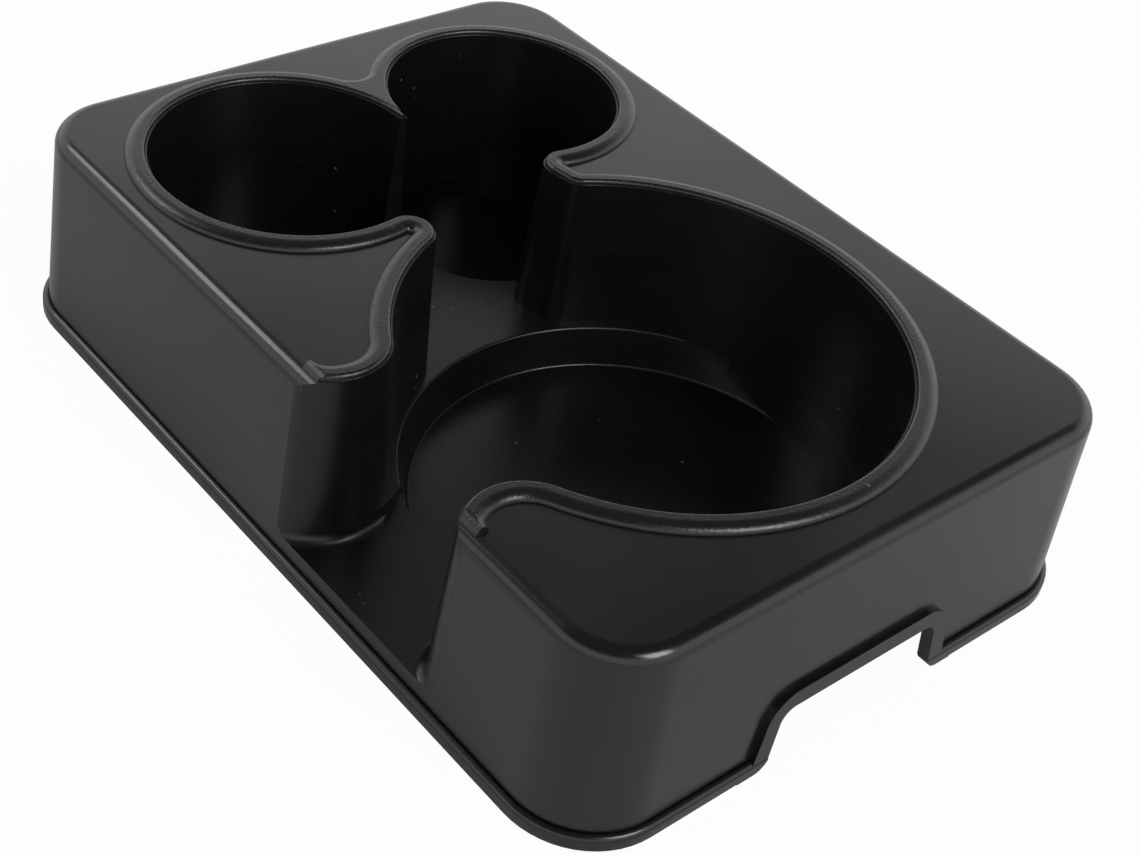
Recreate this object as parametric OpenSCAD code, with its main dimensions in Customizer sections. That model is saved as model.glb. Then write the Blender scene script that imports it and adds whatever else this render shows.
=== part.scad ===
// Car cup holder organizer: one thin moulded shell, hollow from below.
// Millimetres, bottom at z = 0, +X along the length toward the end with the
// notch in its foot, -Y toward the side with the open gap.

/* [Outer body] */
// length of the outer walls at the foot, without the rim
body_length = 250; // [240:0.5:262]
// width of the outer walls at the foot, without the rim
body_width = 180; // [179:0.5:190]
// height of the flat deck
deck_height = 58.5; // [50:0.5:70]
// plan radius of the four corners at the foot
corner_radius = 22.5; // [16:0.5:24]
// radius between the deck and the outer walls
top_edge_radius = 4; // [3:0.5:5]
// sideways draft of every wall for each unit of height
draft = 0.05; // [0.04:0.005:0.06]
// thickness of walls, deck and floors
wall = 2; // [1.6:0.1:2.2]

/* [Foot rim] */
// how far the rim stands out from the wall
rim_proud = 1.5; // [1:0.1:2.5]
// height of the rim
rim_height = 4.4; // [3.5:0.1:5.5]

/* [Notch in the foot] */
// half width of the notch at mid height
notch_half_width = 28.3; // [20:0.1:32]
// height of the notch
notch_height = 17.6; // [12:0.1:22]
// place of the notch along the short side
notch_centre = -1.5; // [-8:0.1:8]
// slant of the notch sides
notch_slant = 1.5; // [0.5:0.1:3]
// corner radius at the top of the notch
notch_corner = 4.5; // [3:0.1:6]
// radius where the notch sides run out into the foot
notch_flare = 4.5; // [3:0.1:6]
// width of the raised band round the notch
notch_band = 5; // [4:0.1:6]

/* [Small cup wells] */
// radius of the first well at the lip
well_1_radius = 39.8; // [38.5:0.1:40.3]
// radius of the second well at the lip
well_2_radius = 35; // [33.5:0.1:36]
// both small wells sit this far toward the -X end
small_well_x = 71.4; // [70:0.1:73]
// touching point of the two small wells, in from the foot of the gap side
cusp_y = 94.5; // [92:0.1:96]

/* [Large well] */
// radius of the large well at the lip
well_3_radius = 67.8; // [66:0.1:69]
// centre of the large well along X
well_3_x = 38.5; // [37:0.1:40]
// centre of the large well, in from the foot of the gap side
well_3_y = 89; // [88:0.1:90.5]
// radius of the round sinking in the floor of the large well
sink_radius = 64.5; // [62:0.1:66]
// radius of the sinking at its bottom
sink_bottom_radius = 61.5; // [59:0.1:62]
// centre of the sinking along X
sink_x = 43.3; // [42:0.1:44]
// centre of the sinking, in from the foot of the gap side
sink_y = 91.8; // [90:0.1:92.5]

/* [Left block beside the gap] */
// radius of the hollow side that faces the large well
hollow_radius = 71.7; // [70.5:0.1:73]
// centre of that side along X
hollow_x = 45.5; // [44.5:0.1:46.5]
// centre of that side, in from the foot of the gap side
hollow_y = 90.7; // [89.5:0.1:92]
// radius of the inner tip of the block
inner_tip_radius = 5.8; // [5.2:0.1:6.5]

/* [Gap] */
// radius of the rounded block ends on both sides of the gap
gap_round = 15.6; // [14.5:0.1:17]
// centre of these rounds, in from the foot of the gap side
gap_round_y = 16.2; // [15:0.1:17]
// radius that blends the rounds into the long wall
gap_blend = 8; // [6:0.1:10]
// height of the floor in the gap
gap_floor = 9.2; // [8:0.1:11]
// size of the hollow run-out at the foot of the rounds
gap_fillet = 3; // [2:0.1:3.5]

/* [Far tip between the second and the large well] */
// corner radius of the blunt tip
far_tip_radius = 5.3; // [5:0.1:6]
// corner beside the second well, in from the foot of the gap side
far_tip_y2 = 120.7; // [119:0.1:122]
// corner beside the large well, in from the foot of the gap side
far_tip_y3 = 121.6; // [120:0.1:123]

/* [Lip round the opening] */
// height of the lip above the deck
lip_height = 2; // [1.5:0.1:2.5]
// width of the flat top of the lip
lip_top = 3.5; // [3:0.1:3.8]
// width of the slope outside the flat top
lip_slope = 1.5; // [1:0.1:1.5]
// radius of the hollow behind the cusp
lip_cove = 8; // [6:0.1:9]
// depth of the inner face of the lip down to the fine shoulder
shoulder_depth = 1.6; // [1.4:0.1:2]
// how far the fine shoulder stands in from the lip
shoulder_step = 0.4; // [0.3:0.05:0.6]

/* [Floors] */
// height of the floor that joins the wells
passage_floor = 13.5; // [12:0.1:15]
// height of the floor of the three wells
well_floor = 2; // [2:0.1:3]
// small step where the wells go on below that floor
foot_step = 0.3; // [0.2:0.05:0.5]

/* [Hidden] */
$fn = 40;
top = deck_height + lip_height;
eps = 0.01;
hl = body_length / 2;
hw = body_width / 2;
lip_round = 0.6;
shoulder_z = top - shoulder_depth;
shoulder_in = lip_round + shoulder_step;

function at(p, q) = atan2(q[1] - p[1], q[0] - p[0]);
// centre touching two circles: a and b are the distances from p and q
function meet(p, q, a, b, side) =
    let (d = norm(q - p), u = (q - p) / d, m = (a * a - b * b + d * d) / (2 * d),
         h = sqrt(a * a - m * m))
    p + u * m + [-u[1], u[0]] * h * side;
// how far the wall stands in from the lip edge at height z
function inset(z) = shoulder_in + draft * (shoulder_z - z);

c1 = [-small_well_x, cusp_y - hw - well_1_radius];
c2 = [-small_well_x, cusp_y - hw + well_2_radius];
c3 = [well_3_x, well_3_y - hw];
cs = [sink_x, sink_y - hw];
ch = [hollow_x, hollow_y - hw];
// centre of a round at height y that touches the circle c, r; side is -1 to its left
function beside(c, r, y, side) = [c[0] + side * sqrt(r * r - pow(c[1] - y, 2)), y];
tip = meet(c1, ch, well_1_radius + inner_tip_radius, hollow_radius + inner_tip_radius, -1);
far2 = beside(c2, well_2_radius + far_tip_radius, far_tip_y2 - hw, 1);
far3 = beside(c3, well_3_radius + far_tip_radius, far_tip_y3 - hw, -1);
gl = beside(ch, hollow_radius + gap_round, gap_round_y - hw, -1);
gr = beside(c3, well_3_radius + gap_round, gap_round_y - hw, 1);
// blend centres: their rounds reach 0.05 past the long wall at every height
blend_y = -(hw - draft * shoulder_z) + gap_blend + shoulder_in - 0.05;
bl = beside(gl, gap_round - gap_blend, blend_y, 1);
br = beside(gr, gap_round - gap_blend, blend_y, -1);
flat_angle = at(far2, far3) - 90;
cove = meet(c1, c2, well_1_radius + lip_top + lip_cove, well_2_radius + lip_top + lip_cove, 1);

// outline of all wells and the gap as a loop of touching arcs, moved out by d.
// The centres stay fixed, so it stays smooth at any d. With cove it takes the
// short way behind the cusp between the small wells.
function arc(c, r, a0, a1, n, first = 1) = [for (k = [first:n]) let (a = a0 + (a1 - a0) * k / n)
    c + r * [cos(a), sin(a)]];
function loop_pts(d, cove_on) = concat(
    cove_on ? arc(cove, lip_top + lip_cove - d, at(cove, c2), at(cove, c1), 10) : [],
    arc(c1, well_1_radius + d, cove_on ? at(c1, cove) : 93, at(c1, tip) + 360, 38, cove_on ? 1 : 0),
    arc(tip, inner_tip_radius - d, at(tip, c1) + 360, at(tip, ch), 10),
    arc(ch, hollow_radius + d, at(ch, tip) + 360, at(ch, gl) + 360, 8),
    arc(gl, gap_round - d, at(gl, ch), at(gl, bl), 12),
    arc(bl, gap_blend - d, at(gl, bl), -90, 4),
    [[bl[0], -hw - 6], [br[0], -hw - 6]],
    arc(br, gap_blend - d, 270, at(gr, br) + 360, 4, 0),
    arc(gr, gap_round - d, at(gr, br) + 360, at(gr, c3), 12),
    arc(c3, well_3_radius + d, at(c3, gr), at(c3, far3), 38),
    arc(far3, far_tip_radius - d, at(far3, c3) + 360, flat_angle + 360, 5),
    arc(far2, far_tip_radius - d, flat_angle + 360, at(far2, c2), 8, 0),
    arc(c2, well_2_radius + d, at(c2, far2), cove_on ? at(c2, cove) + 360 : 267, 34));

// points inside the outline from which its ends are filled, and which of them
// sees the edge that leads to each point of the outline
hubs = [c1, c2, c3, (tip + far2) / 2, [(gl[0] + gr[0]) / 2, -hw - 3], [c1[0] + 10, cusp_y - hw]];
function times(n, v) = [for (k = [1:n]) v];
function seen_from(cove_on) = concat(
    times(cove_on ? 10 : 1, 5), times(38 + 3, 0), times(4, 3), times(3 + 8 + 5, 2),
    times(7 + 4 + 2 + 5 + 7, 4), times(5 + 38 + 5, 2), times(1 + 4, 3), times(4 + 34, 1));

// solid through that outline at several levels, each [z, d]
module loft(levels, cove_on) {
    rings = [for (v = levels) loop_pts(v[1], cove_on)];
    see = seen_from(cove_on);
    n = len(see);
    m = len(levels);
    function cap(base, h, up) = let (
        t = concat([for (q = [0:n - 1]) [base + (q + n - 1) % n, base + q, h + see[q]]],
            [for (q = [0:n - 1]) if (see[q] != see[(q + 1) % n])
                [h + see[q], base + q, h + see[(q + 1) % n]]],
            [[h + 3, h + 1, h + 5], [h + 3, h + 5, h + 0]]))
        [for (f = t) up ? [f[2], f[1], f[0]] : f];
    polyhedron(
        concat([for (k = [0:m - 1]) for (p = rings[k]) [p[0], p[1], levels[k][0]]],
            [for (k = [0, m - 1]) for (p = hubs) [p[0], p[1], levels[k][0]]]),
        concat(cap(0, m * n, false), cap(m * n - n, m * n + len(hubs), true),
            [for (k = [0:m - 2]) for (q = [0:n - 1]) let (w = (q + 1) % n)
                [k * n + n + q, k * n + n + w, k * n + w, k * n + q]]));
}
module hollow() loft([
    [gap_floor, -inset(gap_floor)],
    [shoulder_z, -shoulder_in],
    [shoulder_z + 0.05, -lip_round],
    [top - lip_round, -lip_round],
    [top - 0.3 * lip_round, -0.7 * lip_round],
    [top + 0.1, 0.24]], false);
// solid that the wells are sunk in, o wider than they are
module mass(o) loft([
    [gap_floor - wall, o - inset(gap_floor - wall)],
    [deck_height - wall / 2, o - inset(deck_height - wall / 2)]], true);
module lip() difference() {
    loft([
        [deck_height - wall * 0.6, lip_top + lip_slope],
        [deck_height, lip_top + lip_slope],
        [top, lip_top]], true);
    front_cut(shell_pts(0, top + 0.2, top_edge_radius + lip_height + 0.2));
}
// takes off what stands out of the long wall beside the gap; pts is that wall's profile
module front_cut(pts) {
    cy = hw - corner_radius;
    n = len(pts);
    translate([(bl[0] + br[0]) / 2, 0, 0]) rotate([0, 0, -90]) bar(br[0] - bl[0] + 40, concat(
        [[cy + pts[0][0], -5]], [for (p = pts) [cy + p[0], p[1]]],
        [[cy + pts[n - 1][0], top + 5], [hw + 12, top + 5], [hw + 12, -5]]));
}
// fillet where a round beside the gap runs out on its floor
module foot(c, r, a0, a1) let (q = r + inset(gap_floor), f = gap_fillet, z = gap_floor)
    turn(c, a0, a1, [[q - 1.2, z - 1], [q + f, z - 1], [q + f, z - 0.05], [q + f * 0.62, z + f * 0.08],
        [q + f * 0.29, z + f * 0.29], [q + f * 0.08, z + f * 0.62], [q - 0.3, z + f], [q - 1.2, z + f]]);
// floor between the wells, one step higher than the floor of the gap
module passage() intersection() {
    union() {
        slab(concat(
            [for (k = [0:6]) let (q = at(gl, ch) - 7 * k, r = gap_round + inset(passage_floor)
                    + 4.3 * pow(1 - k / 6.5, 1.3))
                gl + r * [cos(q), sin(q)]],
            [gl, tip - [0, 3], c1 - [3, 0], c2 - [3, 0], far3 + [0, 3], c3]),
            gap_floor - wall / 2, passage_floor);
        slab([c3 - [0, 20], c3 + [50, -60], c3 + [75, 0], c3 + [55, 75], c3 + [-50, 75],
            far3 + [0, 3]],
            gap_floor - wall / 2, passage_floor);
        for (side = [0, 1]) translate([side * (gl[0] + gr[0]), 0, 0]) mirror([side, 0, 0])
            foot(gl, gap_round, at(gl, bl) - 14, at(gl, ch));
    }
    difference() {
        mass(wall / 2);
        front_cut(shell_pts(0.1, deck_height, top_edge_radius));
    }
}
// lower parts of the wells: o = 0 for the hollow, o = wall for the walls
module well_feet(z0, z1, o) {
    rb = inset(passage_floor) + foot_step - o;
    dz = passage_floor - z0;
    module cone(c, r, k) translate([c[0], c[1], z0]) {
        cylinder(h = dz, r1 = r - k * dz, r2 = r);
        if (z1 > passage_floor) translate([0, 0, dz]) cylinder(h = z1 - passage_floor, r = r);
    }
    cone(c1, well_1_radius - rb, draft);
    cone(c2, well_2_radius - rb, draft);
    intersection() {
        cone(c3, well_3_radius - rb, draft);
        cone(cs, sink_radius + o, (sink_radius - sink_bottom_radius) / (passage_floor - well_floor));
    }
}

// profile closed along the axis it turns about
function closed(pts) = concat([[0, pts[0][1]]], pts, [[0, pts[len(pts) - 1][1]]]);

module turn(c, a0, a1, pts)
    translate([c[0], c[1], 0]) rotate([0, 0, a0])
        rotate_extrude(angle = a1 - a0) polygon(pts);
module slab(pts, z0, z1)
    translate([0, 0, z0]) linear_extrude(height = z1 - z0) polygon(pts);
module bar(len, pts)
    rotate([90, 0, 0]) translate([0, 0, -len / 2]) linear_extrude(height = len) polygon(pts);

// block with rounded corners; pts is the wall profile from the corner centre
module rounded_block(pts) {
    cx = hl - corner_radius;
    cy = hw - corner_radius;
    n = len(pts);
    for (i = [0:3]) {
        sx = i == 0 || i == 3 ? 1 : -1;
        sy = i < 2 ? 1 : -1;
        turn([sx * cx, sy * cy], 90 * i, 90 * i + 90, closed(pts));
    }
    rotate([0, 0, 90]) bar(2 * cx, concat(
        [for (p = pts) [cy + p[0], p[1]]],
        [for (k = [n - 1:-1:0]) [-cy - pts[k][0], pts[k][1]]]));
    for (a = [0, 180]) rotate([0, 0, a]) translate([cx, 0, 0]) bar(2 * cy, closed(pts));
}
// wall with rounded top edge, moved in by o, top at z1, edge radius fr
function shell_pts(o, z1, fr) = let (zc = z1 - fr, a0 = atan(draft),
        rc = corner_radius - o - draft * zc - fr * sqrt(1 + draft * draft))
    concat([[corner_radius - o, 0]],
        [for (k = [0:6]) let (a = a0 + (90 - a0) * k / 6)
            [rc + fr * cos(a), zc + fr * sin(a)]]);
function rim_pts() = let (r = corner_radius, h = rim_height, p = rim_proud,
        w = shell_pts(0, deck_height, top_edge_radius))
    concat([[r + p - 0.3, 0], [r + p, 0.3], [r + p, h - 1.4], [r + p * 0.83, h - 0.75],
        [r + p * 0.5, h - 0.2], [r + p * 0.1, h], [r - draft * h, h - 0.35]],
        [for (k = [1:7]) w[k]]);

// notch outline in the plane of the short wall: g widens it
function notch_pts(g) = let (b = notch_half_width + g, h = notch_height + g,
        r = notch_corner + g, f = notch_flare, k = notch_slant / notch_height)
    concat(
        [for (a = [0:15:90]) [b + k * h / 2 + f * (1 - sin(a)) - 0.3, f * (1 - cos(a))]],
        [for (a = [0:15:90]) [b - k * h / 2 - r * (1 - cos(a)), h - r * (1 - sin(a))]]);
function notch_loop(g) = let (p = notch_pts(g), n = len(p)) concat(
    [[p[0][0], -5]], p, [for (k = [n - 1:-1:0]) [-p[k][0], p[k][1]]], [[-p[0][0], -5]]);
module notch_prism(g, x0, x1)
    translate([x0, notch_centre, 0]) rotate([90, 0, 90])
        linear_extrude(height = x1 - x0) polygon(notch_loop(g));
module notch_band() intersection() {
    notch_prism(notch_band, hl - 8, hl + 8);
    translate([hl, notch_centre, 0]) bar(3 * notch_half_width, [
        [-1, 0], [rim_proud, 0], [rim_proud - draft * 30, 30], [-1 - draft * 30, 30]]);
}
module organizer() color([0.05, 0.05, 0.055]) {
    difference() {
        union() {
            difference() {
                union() {
                    difference() {
                        rounded_block(rim_pts());
                        translate([0, 0, -eps]) rounded_block(shell_pts(wall,
                            deck_height - wall + eps, top_edge_radius - wall));
                    }
                    difference() {
                        mass(wall);
                        front_cut(shell_pts(wall / 2, deck_height - wall / 2,
                            top_edge_radius - wall / 2));
                    }
                    well_feet(0, passage_floor - wall / 2, wall);
                    lip();
                    notch_band();
                }
                hollow();
            }
            passage();
        }
        well_feet(well_floor, passage_floor + 1, 0);
        notch_prism(0, hl - 12, hl + 8);
    }
}

organizer();
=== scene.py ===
"""Looks of the cup holder organizer: one moulded shell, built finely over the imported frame."""
import math

import bpy
import numpy as np
from mathutils import Matrix, Vector


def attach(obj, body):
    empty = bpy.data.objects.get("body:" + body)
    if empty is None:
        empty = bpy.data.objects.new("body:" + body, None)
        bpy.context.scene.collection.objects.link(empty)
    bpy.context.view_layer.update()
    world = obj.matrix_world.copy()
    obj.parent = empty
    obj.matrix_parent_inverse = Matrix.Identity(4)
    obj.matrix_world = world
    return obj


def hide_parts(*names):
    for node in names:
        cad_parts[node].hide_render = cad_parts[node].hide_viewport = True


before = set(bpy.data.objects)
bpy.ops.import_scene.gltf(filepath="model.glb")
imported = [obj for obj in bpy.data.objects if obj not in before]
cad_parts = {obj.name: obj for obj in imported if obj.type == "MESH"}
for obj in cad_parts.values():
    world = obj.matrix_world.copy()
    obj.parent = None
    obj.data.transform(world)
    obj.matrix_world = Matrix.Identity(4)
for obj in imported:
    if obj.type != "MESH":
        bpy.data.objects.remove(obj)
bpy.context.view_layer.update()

MM = 0.001

# Sizes in millimetres, as in the part's source.
LEN, WID, DECK, CORNER, EDGE = 250.0, 180.0, 58.5, 22.5, 4.0
DRAFT, WALL = 0.05, 2.0
RIM, RIM_H = 1.5, 4.4
R1, R2, R3, RH = 39.8, 35.0, 67.8, 71.7
TIP_R, FAR_R, GAP_R, BLEND_R = 5.8, 5.3, 15.6, 8.0
LIP_H, LIP_TOP, COVE_R = 2.0, 3.5, 8.0
GAP_FLOOR, PASS_FLOOR, WELL_FLOOR, FOOT_STEP = 9.2, 13.5, 2.0, 0.3
SINK_R, SINK_R2 = 64.5, 61.5
SINK_TOP_RND, SINK_FOOT_RND = 0.8, 0.9
FLOOR_RND, RIM_RND = 3.0, 1.5
GAP_Y, FAR_Y2, FAR_Y3 = -73.8, 30.7, 31.6
CUP_STEPS, LARGE_STEPS = 180, 260
NOTCH_HALF, NOTCH_H, NOTCH_R, NOTCH_LEAN, NOTCH_Y = 28.3, 17.6, 4.5, 1.5, -1.5
TOP = DECK + LIP_H
HL, HW = LEN / 2, WID / 2
SH_Z, SH_IN, LIP_RND, EDGE_R = TOP - 1.6, 1.0, 0.6, 1.05


def V(*a):
    """A point in the plan."""
    return np.array(a, float)


def at(p, q):
    """Direction from p to q in degrees."""
    return math.degrees(math.atan2(q[1] - p[1], q[0] - p[0]))


def meet(p, q, a, b, side):
    """Where circles of radius a about p and b about q cross, on the given side."""
    d = np.linalg.norm(q - p)
    u = (q - p) / d
    m = (a * a - b * b + d * d) / (2 * d)
    h = math.sqrt(a * a - m * m)
    return p + u * m + V(-u[1], u[0]) * h * side


def inset(z):
    """How far the drafted well walls stand inside the outline at height z."""
    return SH_IN + DRAFT * (SH_Z - z)


c1, c2 = V(-71.4, 4.5 - R1), V(-71.4, 4.5 + R2)
c3, cs, ch = V(38.5, -1), V(43.3, 1.8), V(45.5, 0.7)
tip = meet(c1, ch, R1 + TIP_R, RH + TIP_R, -1)
far2 = V(c2[0] + math.sqrt((R2 + FAR_R) ** 2 - (c2[1] - FAR_Y2) ** 2), FAR_Y2)
far3 = V(c3[0] - math.sqrt((R3 + FAR_R) ** 2 - (FAR_Y3 - c3[1]) ** 2), FAR_Y3)
gl = V(ch[0] - math.sqrt((RH + GAP_R) ** 2 - (ch[1] - GAP_Y) ** 2), GAP_Y)
gr = V(c3[0] + math.sqrt((R3 + GAP_R) ** 2 - (c3[1] - GAP_Y) ** 2), GAP_Y)
by = -(HW - DRAFT * SH_Z) + BLEND_R + SH_IN - 0.05
bdx = math.sqrt((GAP_R - BLEND_R) ** 2 - (by - GAP_Y) ** 2)
bl, br = V(gl[0] + bdx, by), V(gr[0] - bdx, by)
flat_a = at(far2, far3) - 90
cove = meet(c1, c2, R1 + LIP_TOP + COVE_R, R2 + LIP_TOP + COVE_R, 1)


def arc(c, r, a0, a1, n, w=None):
    """Points on an arc, with a weight for each (0 unless w is given)."""
    out = []
    for k in range(n + 1):
        t = k / n
        a = math.radians(a0 + (a1 - a0) * t)
        out.append((c[0], c[1], math.cos(a), math.sin(a), r, w(t) if w else 0.0))
    return out


def smooth(t):
    """Soft step from 0 to 1."""
    t = min(max(t, 0), 1)
    return t * t * (3 - 2 * t)


def loop(d, round_cove=False, foot=0.0, q=3):
    """The outline of all wells and the gap, moved out by d, with a run-out beside the gap."""
    A = []
    if round_cove:
        A.append(arc(cove, LIP_TOP + COVE_R - d, at(cove, c2), at(cove, c1), 8 * q))
    A.append(arc(c1, R1 + d, at(c1, cove) if round_cove else 93, at(c1, tip) + 360, 40 * q))
    A.append(arc(tip, TIP_R - d, at(tip, c1) + 360, at(tip, ch), 10 * q))
    A.append(arc(ch, RH + d, at(ch, tip) + 360, at(ch, gl) + 360, 10 * q))
    A.append(arc(gl, GAP_R - d, at(gl, ch), at(gl, bl), 12 * q, lambda t: smooth(t / 0.5)))
    A.append(arc(bl, BLEND_R - d, at(gl, bl), -90, 4 * q, lambda t: 1 - 0.75 * smooth(t)))
    corner = [[(bl[0], -HW - 6, 0, 0, 0, 0)], [(br[0], -HW - 6, 0, 0, 0, 0)]]
    B = [arc(br, BLEND_R - d, 270, at(gr, br) + 360, 4 * q, lambda t: 0.25 + 0.75 * smooth(t))]
    B.append(arc(gr, GAP_R - d, at(gr, br) + 360, at(gr, c3), 12 * q, lambda t: smooth((1 - t) / 0.5)))
    B.append(arc(c3, R3 + d, at(c3, gr), at(c3, far3), 46 * q))
    B.append(arc(far3, FAR_R - d, at(far3, c3) + 360, flat_a + 360, 5 * q))
    B.append(arc(far2, FAR_R - d, flat_a + 360, at(far2, c2), 8 * q))
    B.append(arc(c2, R2 + d, at(c2, far2), at(c2, cove) + 360 if round_cove else 267, 38 * q))
    pts = []
    for group in (A, corner, B):
        for j, seg in enumerate(group):
            drop = j > 0 and group is not corner and not (group is B and j == 4)
            pts += seg[1:] if drop else seg
    if round_cove:
        pts = pts[:-1]
    out = []
    for x, y, cx, sy, r, w in pts:
        out.append((x + cx * (r + foot * w), y + sy * (r + foot * w)))
    return out


def rrect(off, n=14):
    """Rounded rectangle whose corners have the radius off about fixed centres."""
    cx, cy = HL - CORNER, HW - CORNER
    out = []
    for i, (sx, sy) in enumerate(((1, 1), (-1, 1), (-1, -1), (1, -1))):
        for k in range(n + 1):
            a = math.radians(90 * i + 90 * k / n)
            out.append((sx * cx + off * math.cos(a), sy * cy + off * math.sin(a)))
    return out


def loft(rings, name):
    """Closed mesh through rings of (z, points), lowest first."""
    n = len(rings[0][1])
    verts = [(x * MM, y * MM, z * MM) for z, pts in rings for x, y in pts]
    faces = [list(range(n - 1, -1, -1))]
    for k in range(len(rings) - 1):
        for i in range(n):
            j = (i + 1) % n
            faces.append((k * n + i, k * n + j, (k + 1) * n + j, (k + 1) * n + i))
    faces.append([(len(rings) - 1) * n + i for i in range(n)])
    me = bpy.data.meshes.new(name)
    me.from_pydata(verts, [], faces)
    me.update()
    o = bpy.data.objects.new(name, me)
    bpy.context.collection.objects.link(o)
    return o


def shell_pts(o, z1, fr, n=10):
    """Heights and corner radii of a drafted block moved in by o, with a rounded top edge."""
    zc, a0 = z1 - fr, math.degrees(math.atan(DRAFT))
    rc = CORNER - o - DRAFT * zc - fr * math.sqrt(1 + DRAFT * DRAFT)
    pts = [(0.0, CORNER - o)]
    for k in range(n + 1):
        a = math.radians(a0 + (90 - a0) * k / n)
        pts.append((zc + fr * math.sin(a), rc + fr * math.cos(a)))
    return pts


def block(profile, name):
    """Closed block from heights and corner radii."""
    return loft([(z, rrect(r)) for z, r in profile], name)


def combine(a, b, op):
    """Boolean of a with b, which is used up."""
    m = a.modifiers.new("cut", "BOOLEAN")
    m.operation, m.object, m.solver = op, b, "MANIFOLD"
    dg = bpy.context.evaluated_depsgraph_get()
    me = bpy.data.meshes.new_from_object(a.evaluated_get(dg))
    a.modifiers.clear()
    old = a.data
    a.data = me
    bpy.data.meshes.remove(old)
    bpy.data.objects.remove(b, do_unlink=True)
    return a


def paint(o, index, mats):
    """Give every face of o the material of that index."""
    o.data.materials.clear()
    for m in mats:
        o.data.materials.append(m)
    o.data.polygons.foreach_set("material_index", [index] * len(o.data.polygons))
    return o


# Materials.
def plastic(name, grey, rough, grain_scale, grain, flow=0.0, dust=0.0):
    """Black moulded plastic: fine grain, faint flow lines, soft mottling, rubbed gloss and dust."""
    m = bpy.data.materials.new(name)
    m.use_nodes = True
    nt = m.node_tree
    N, L = nt.nodes, nt.links
    b = N["Principled BSDF"]
    b.inputs["IOR"].default_value = 1.5
    tc = N.new("ShaderNodeTexCoord")

    def noise(scale, detail, rough_n=0.5, vec=None):
        n = N.new("ShaderNodeTexNoise")
        n.inputs["Scale"].default_value = scale
        n.inputs["Detail"].default_value = detail
        n.inputs["Roughness"].default_value = rough_n
        L.new(vec or tc.outputs["Object"], n.inputs["Vector"])
        return n.outputs["Fac"]

    def ramp(src, lo, hi, a, b2):
        r = N.new("ShaderNodeMapRange")
        r.inputs["From Min"].default_value = lo
        r.inputs["From Max"].default_value = hi
        r.inputs["To Min"].default_value = a
        r.inputs["To Max"].default_value = b2
        L.new(src, r.inputs["Value"])
        return r.outputs["Result"]

    def math_(op, a, b2):
        n = N.new("ShaderNodeMath")
        n.operation = op
        for i, v in enumerate((a, b2)):
            if isinstance(v, (int, float)):
                n.inputs[i].default_value = v
            else:
                L.new(v, n.inputs[i])
        return n.outputs[0]

    mott = noise(28.0, 3.0)
    fine = noise(grain_scale, 4.0, 0.6)
    # flow lines: noise stretched along the height and length of the walls
    mp = N.new("ShaderNodeMapping")
    mp.inputs["Scale"].default_value = (14.0, 14.0, 160.0)
    mp.inputs["Rotation"].default_value = (0.12, -0.2, 0.0)
    L.new(tc.outputs["Object"], mp.inputs["Vector"])
    lines = noise(1.0, 2.0, 0.5, mp.outputs["Vector"])
    # dust specks
    vo = N.new("ShaderNodeTexVoronoi")
    vo.inputs["Scale"].default_value = 260.0
    L.new(tc.outputs["Object"], vo.inputs["Vector"])
    pick = ramp(vo.outputs["Color"], 0.0, 1.0, 0.0, 1.0)
    speck = math_("MULTIPLY", ramp(vo.outputs["Distance"], 0.05, 0.12, 1.0, 0.0),
                  ramp(noise(60.0, 2.0), 0.56, 0.66, 0.0, 1.0))
    speck = math_("MULTIPLY", speck, ramp(pick, 0.55, 0.65, 0.0, 1.0))
    col = N.new("ShaderNodeMix")
    col.data_type = "RGBA"
    col.inputs[6].default_value = (grey, grey, grey * 1.06, 1)
    col.inputs[7].default_value = (grey * 1.45, grey * 1.45, grey * 1.5, 1)
    L.new(mott, col.inputs[0])
    col2 = N.new("ShaderNodeMix")
    col2.data_type = "RGBA"
    L.new(math_("MULTIPLY", speck, dust), col2.inputs[0])
    L.new(col.outputs[2], col2.inputs[6])
    col2.inputs[7].default_value = (0.35, 0.34, 0.33, 1)
    L.new(col2.outputs[2], b.inputs["Base Color"])
    r = math_("ADD", ramp(mott, 0.3, 0.7, rough - 0.035, rough + 0.035),
              ramp(fine, 0.3, 0.7, -0.03, 0.03))
    r = math_("ADD", r, math_("MULTIPLY", ramp(lines, 0.45, 0.6, 0.0, 1.0), flow * 0.08))
    L.new(r, b.inputs["Roughness"])
    h = math_("ADD", math_("MULTIPLY", fine, grain), math_("MULTIPLY", lines, flow * 0.35))
    h = math_("ADD", h, math_("MULTIPLY", speck, dust * 0.6))
    bump = N.new("ShaderNodeBump")
    bump.inputs["Strength"].default_value = 0.5
    bump.inputs["Distance"].default_value = 0.00008
    L.new(h, bump.inputs["Height"])
    L.new(bump.outputs["Normal"], b.inputs["Normal"])
    return m


m_body = plastic("satin_body", 0.0045, 0.19, 2600.0, 0.45, flow=0.5, dust=0.25)
m_lip = plastic("grained_lip", 0.0055, 0.25, 1500.0, 2.2, dust=0.35)
# the hollow of the wells and the floor between them use a copy of the body plastic with a darker base
# colour (0.0035 against 0.0045): painted shade in the deep wells
m_well_painted_shade = plastic("well_inside_painted_shade", 0.0035, 0.27, 2400.0, 0.5, flow=0.35, dust=0.5)
m_under = plastic("underside", 0.008, 0.45, 1800.0, 1.0)
m_well_painted_shade.node_tree.nodes["Principled BSDF"].inputs["Specular IOR Level"].default_value = 0.4
MATS = [m_body, m_lip, m_well_painted_shade, m_under]

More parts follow.
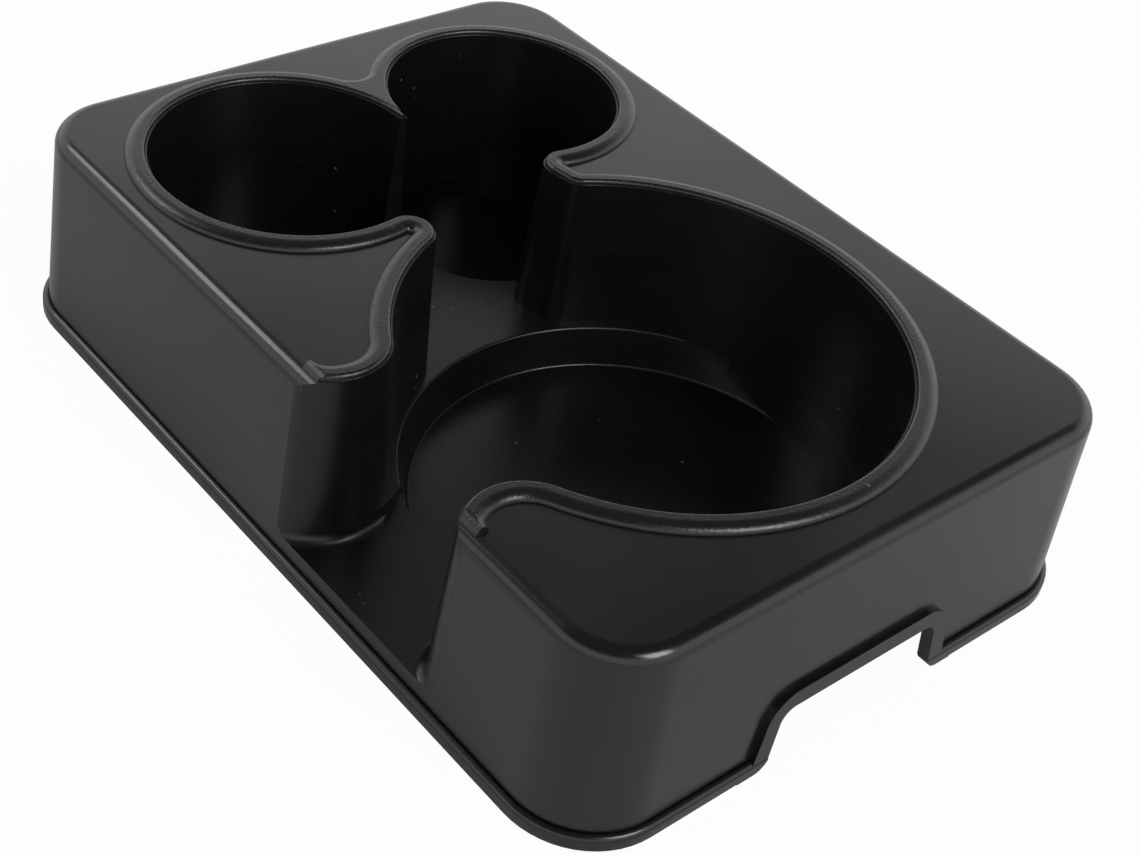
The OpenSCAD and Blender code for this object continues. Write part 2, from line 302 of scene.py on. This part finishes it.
# The moulding: the block with its foot rim, hollow underneath.
rim = [(0.0, CORNER + RIM - 0.35), (0.12, CORNER + RIM - 0.12), (0.35, CORNER + RIM)]
for k in range(7):
    a = math.radians(90 * k / 6)
    rim.append((RIM_H - RIM_RND + RIM_RND * math.sin(a), CORNER + RIM * math.cos(a) + 0.02))
rim.append((RIM_H - 0.3, CORNER - DRAFT * RIM_H - 0.22))
rim.append((RIM_H + 0.35, CORNER - DRAFT * RIM_H - 0.22))
rim.append((RIM_H + 0.6, CORNER - DRAFT * (RIM_H + 0.6)))
wall = shell_pts(0, DECK, EDGE, 12)
body = paint(block(rim + wall[1:], "shell"), 0, MATS)
cav = [(z if z else -1.0, r) for z, r in shell_pts(WALL, DECK - WALL, EDGE - WALL, 6)]
combine(body, paint(block(cav, "cav"), 3, MATS), "DIFFERENCE")


def circle(c, r, n):
    """Points of a circle about c."""
    return [(c[0] + r * math.cos(2 * math.pi * k / n), c[1] + r * math.sin(2 * math.pi * k / n))
            for k in range(n)]


def cone(c, z0, z1, r0, r1, name, n):
    """Upright cone frustum."""
    return loft([(z0, circle(c, r0, n)), (z1, circle(c, r1, n))], name)


def feet(z0, z1, o, index):
    """Lower parts of the wells: o = 0 for the hollow, WALL for the walls."""
    rb, dz = inset(PASS_FLOOR) + FOOT_STEP - o, PASS_FLOOR - z0
    out = []
    for c, r in ((c1, R1 - rb), (c2, R2 - rb)):
        top_r = r + DRAFT * (z1 - PASS_FLOOR) * (o > 0)
        out.append(cone(c, z0, z1, r - DRAFT * dz, top_r, "well", CUP_STEPS))
    a = cone(c3, z0, z1, R3 - rb - DRAFT * dz, R3 - rb, "well", LARGE_STEPS)
    k = (SINK_R - SINK_R2) / (PASS_FLOOR - WELL_FLOOR)
    prof = [(z0, SINK_R + o - k * dz), (z1, SINK_R + o)]
    if not o:
        lo, up = SINK_FOOT_RND, SINK_TOP_RND
        prof = [(z0 + lo * (1 - math.cos(math.radians(t))),
                 SINK_R - k * dz - lo + lo * math.sin(math.radians(t)))
                for t in (0, 18, 36, 54, 72, 88)]
        prof += [(PASS_FLOOR - up + up * math.sin(math.radians(t)),
                  SINK_R - 0.2 + up * (1 - math.cos(math.radians(t))))
                 for t in (0, 18, 36, 54, 72, 86)]
        prof.append((z1, SINK_R + 1.0))
    b = loft([(z, circle(cs, r, LARGE_STEPS)) for z, r in prof], "sink")
    out.append(combine(a, b, "INTERSECT"))
    return [paint(p, index, MATS) for p in out]


# the walls that follow the wells under the deck
mass = paint(loft([(GAP_FLOOR - WALL, loop(WALL - inset(GAP_FLOOR - WALL), True, q=2)),
                   (DECK, loop(WALL - inset(DECK), True, q=2))], "mass"), 3, MATS)
for p in feet(0.0, PASS_FLOOR - 1, WALL, 3):
    combine(mass, p, "UNION")
clip = paint(block(shell_pts(WALL / 2, DECK - WALL / 2, EDGE - WALL / 2, 6), "clip"), 3, MATS)
combine(mass, clip, "INTERSECT")
combine(body, mass, "UNION")

# raised lip: height and distance out from the outline
lip = [(DECK - WALL * 0.6, 5.0), (DECK - 0.05, 5.0), (DECK + 0.45, 4.9), (DECK + 0.85, 4.66),
       (DECK + 1.2, 4.3), (DECK + 1.5, 3.85), (TOP - 0.3, 3.35), (TOP - 0.15, 2.85),
       (TOP - 0.05, 2.4), (TOP, 1.9)]
lipo = paint(loft([(z, loop(d, True, q=4)) for z, d in lip], "lip"), 1, MATS)
combine(lipo, paint(block(shell_pts(2.2, TOP + 0.02, LIP_H + 1.22, 14), "clip"), 1, MATS), "INTERSECT")
combine(body, lipo, "UNION")

# the hollow of the wells: height, distance from the outline and spread at the foot
hol = []
for z in (GAP_FLOOR, GAP_FLOOR + 0.12, GAP_FLOOR + 0.4, GAP_FLOOR + 0.85, GAP_FLOOR + 1.5,
          GAP_FLOOR + 2.2, GAP_FLOOR + 3.0):
    t = (z - GAP_FLOOR) / FLOOR_RND
    hol.append((z, -inset(z), FLOOR_RND * (1 - math.sqrt(max(0.0, 1 - (1 - t) ** 2)))))
hol += [(z, -inset(z), 0.0) for z in (20.0, 30.0, 40.0, 50.0, SH_Z - 0.12)]
hol += [(SH_Z - 0.02, -SH_IN - 0.02, 0.0), (SH_Z, -SH_IN + 0.05, 0.0),
        (SH_Z + 0.02, -LIP_RND - 0.04, 0.0), (SH_Z + 0.08, -LIP_RND, 0.0)]
for k in range(9):
    a = math.radians(90 * k / 8)
    hol.append((TOP - EDGE_R + EDGE_R * math.sin(a) + 0.001 * k,
                EDGE_R - LIP_RND - EDGE_R * math.cos(a), 0.0))
hol.append((TOP + 0.5, EDGE_R - LIP_RND + 2.0, 0.0))
holo = loft([(z, loop(d, False, f, 4)) for z, d, f in hol], "hollow")
paint(holo, 2, MATS)
for p in holo.data.polygons:
    if p.center.z > (SH_Z + 0.01) * MM:
        p.material_index = 1
combine(body, holo, "DIFFERENCE")


def slab(pts, z0, z1, name):
    """Upright prism over an outline."""
    return loft([(z0, pts), (z1, pts)], name)


# floor between the wells, with the end that runs out along the left round of the gap
curve = []
for k in range(19):
    a = math.radians(at(gl, ch) - 42 * k / 18)
    r = GAP_R + inset(PASS_FLOOR) + 4.3 * (1 - k / 18 / 1.083) ** 1.3
    curve.append((gl[0] + r * math.cos(a), gl[1] + r * math.sin(a)))
left = slab([tuple(p) for p in (c3, far3 + V(0, 3), c2 - V(3, 0), c1 - V(3, 0), tip - V(0, 3), gl)]
            + curve[::-1], GAP_FLOOR - 1, PASS_FLOOR, "floor")
right = slab([tuple(p) for p in (c3 - V(0, 20), c3 + V(50, -60), c3 + V(75, 0), c3 + V(55, 75),
                                 c3 + V(-50, 75), far3 + V(0, 3))],
             GAP_FLOOR - 1, PASS_FLOOR, "floor")
combine(left, right, "UNION")
keep = loft([(GAP_FLOOR - WALL, loop(WALL / 2 - inset(GAP_FLOOR - WALL), True, q=2)),
             (DECK, loop(WALL / 2 - inset(DECK), True, q=2))], "keep")
combine(left, keep, "INTERSECT")
low_block = block([(1.0, CORNER - 1.0), (DECK / 2, CORNER - 1.0 - DRAFT * DECK / 2)], "clip")
combine(left, low_block, "INTERSECT")
combine(body, paint(left, 2, MATS), "UNION")
for p in feet(WELL_FLOOR, PASS_FLOOR + 1, 0, 2):
    combine(body, p, "DIFFERENCE")


# Notch in the foot of the near wall, with a raised band round it.
def notch_pts(g, n=8):
    """Outline of the notch, made larger all round by g."""
    b, h, r, f, k = NOTCH_HALF + g, NOTCH_H + g, NOTCH_R + g, NOTCH_R, NOTCH_LEAN / NOTCH_H
    p = [(b + k * h / 2 + f * (1 - math.sin(math.radians(a))) - 0.3, f * (1 - math.cos(math.radians(a))))
         for a in np.linspace(0, 90, n)]
    p += [(b - k * h / 2 - r * (1 - math.cos(math.radians(a))), h - r * (1 - math.sin(math.radians(a))))
          for a in np.linspace(0, 90, n)]
    p = [(p[0][0], -5.0)] + p
    return p + [(-x, y) for x, y in reversed(p)]


def prism(g, x0, x1, name):
    """The notch outline swept along X."""
    pts = notch_pts(g)
    o = loft([(x0, pts), (x1, pts)], name)
    for v in o.data.vertices:
        a, b2, c = v.co
        v.co = (c, a + NOTCH_Y * MM, b2)
    return o


band = prism(5.0, HL - 8, HL + 8, "band")
side = loft([(z, [(HL - 1 - DRAFT * z, -60), (HL + RIM - DRAFT * z, -60), (HL + RIM - DRAFT * z, 60),
                  (HL - 1 - DRAFT * z, 60)]) for z in (0, 30)], "side")
combine(band, side, "INTERSECT")
combine(body, paint(band, 0, MATS), "UNION")
combine(body, paint(prism(0.0, HL - 12, HL + 8, "notch"), 3, MATS), "DIFFERENCE")

body.name = "moulded_shell"
body.data.name = "moulded_shell"
for p in body.data.polygons:
    p.use_smooth = True
body.data.set_sharp_from_angle(angle=math.radians(32))
even = body.modifiers.new("even", "WEIGHTED_NORMAL")
even.keep_sharp, even.weight = True, 90
done = bpy.data.meshes.new_from_object(body.evaluated_get(bpy.context.evaluated_depsgraph_get()))
body.modifiers.clear()
body.data = done
done.name = "moulded_shell"
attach(body, "root")
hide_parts("organizer")

# Floor, world, lamps and camera.
bpy.ops.mesh.primitive_plane_add(size=8.0, location=(0, 0, -0.0004))
floor = bpy.context.object
floor.name = "floor"
m = bpy.data.materials.new("white_floor")
m.use_nodes = True
nt = m.node_tree
fb = nt.nodes["Principled BSDF"]
fb.inputs["Base Color"].default_value = (0.72, 0.72, 0.72, 1)
fb.inputs["Roughness"].default_value = 0.8
fb.inputs["Specular IOR Level"].default_value = 0.1
glow = nt.nodes.new("ShaderNodeEmission")
glow.inputs["Strength"].default_value = 1.0
path = nt.nodes.new("ShaderNodeLightPath")
share = nt.nodes.new("ShaderNodeMath")
share.operation = "MULTIPLY"
share.inputs[1].default_value = 0.96
mixer = nt.nodes.new("ShaderNodeMixShader")
nt.links.new(path.outputs["Is Camera Ray"], share.inputs[0])
nt.links.new(share.outputs[0], mixer.inputs[0])
nt.links.new(fb.outputs[0], mixer.inputs[1])
nt.links.new(glow.outputs[0], mixer.inputs[2])
nt.links.new(mixer.outputs[0], nt.nodes["Material Output"].inputs["Surface"])
floor.data.materials.append(m)

world = bpy.data.worlds.new("studio")
bpy.context.scene.world = world
world.use_nodes = True
nt = world.node_tree
bg = nt.nodes["Background"]
coord = nt.nodes.new("ShaderNodeTexCoord")
sep = nt.nodes.new("ShaderNodeSeparateXYZ")
# a bright band low down that fades to a dim top, dimmest away from the far end
fade = nt.nodes.new("ShaderNodeMapRange")
fade.interpolation_type = "SMOOTHSTEP"
fade.inputs["From Min"].default_value = 0.53
fade.inputs["From Max"].default_value = 0.61
fade.inputs["To Min"].default_value = 1.2
high = nt.nodes.new("ShaderNodeMapRange")
high.inputs["From Min"].default_value = -0.55
high.inputs["From Max"].default_value = -0.36
high.inputs["To Min"].default_value = 0.34
high.inputs["To Max"].default_value = 0.10
nt.links.new(coord.outputs["Generated"], sep.inputs[0])
nt.links.new(sep.outputs["X"], high.inputs["Value"])
nt.links.new(sep.outputs["Z"], fade.inputs["Value"])
nt.links.new(high.outputs["Result"], fade.inputs["To Max"])
path = nt.nodes.new("ShaderNodeLightPath")
# the camera itself sees plain white
pick = nt.nodes.new("ShaderNodeMix")
pick.inputs[3].default_value = 1.0
nt.links.new(path.outputs["Is Camera Ray"], pick.inputs[0])
nt.links.new(fade.outputs["Result"], pick.inputs[2])
nt.links.new(pick.outputs[0], bg.inputs["Strength"])
bg.inputs["Color"].default_value = (1, 1, 1, 1)


def lamp(name, loc, target, sx, sy, power):
    """Rectangular soft light aimed at a point."""
    d = bpy.data.lights.new(name, "AREA")
    d.shape, d.size, d.size_y, d.energy = "RECTANGLE", sx, sy, power
    o = bpy.data.objects.new(name, d)
    o.location = loc
    o.rotation_euler = (Vector(target) - Vector(loc)).to_track_quat("-Z", "Y").to_euler()
    bpy.context.collection.objects.link(o)
    return o


lamp("key_soft", (1.05, 0.15, 0.95), (0, 0, 0.03), 0.6, 0.5, 9.0)
lamp("edge_strip", (-0.90, -0.42, 0.92), (0, 0, 0.03), 0.55, 0.34, 3.0)

# the camera fitted to the photo: turn, focal length and optical axis in pixels of the photo
PHOTO_W, PHOTO_H, SENSOR = 1140, 855, 36.0
FOCAL_PX, AXIS_X, AXIS_Y = 1906.10, 496.461, 395.868
R = ((0.621999, 0.772663, 0.126925), (0.552061, -0.317781, -0.770872),
     (-0.55529, 0.549552, -0.624216))
cam = bpy.data.cameras.new("photo_camera")
cam.lens, cam.sensor_width, cam.sensor_fit = FOCAL_PX / PHOTO_W * SENSOR, SENSOR, "HORIZONTAL"
cam.shift_x = (PHOTO_W / 2 - AXIS_X) / PHOTO_W
cam.shift_y = -(PHOTO_H / 2 - AXIS_Y) / PHOTO_W
cam.clip_start, cam.clip_end = 0.01, 50.0
co = bpy.data.objects.new("photo_camera", cam)
rot = Matrix([(R[0][i], -R[1][i], -R[2][i]) for i in range(3)])
co.matrix_world = Matrix.Translation((0.288168, -0.298504, 0.340161)) @ rot.to_4x4()
bpy.context.collection.objects.link(co)
bpy.context.scene.camera = co

bpy.context.scene.view_settings.view_transform = "Standard"
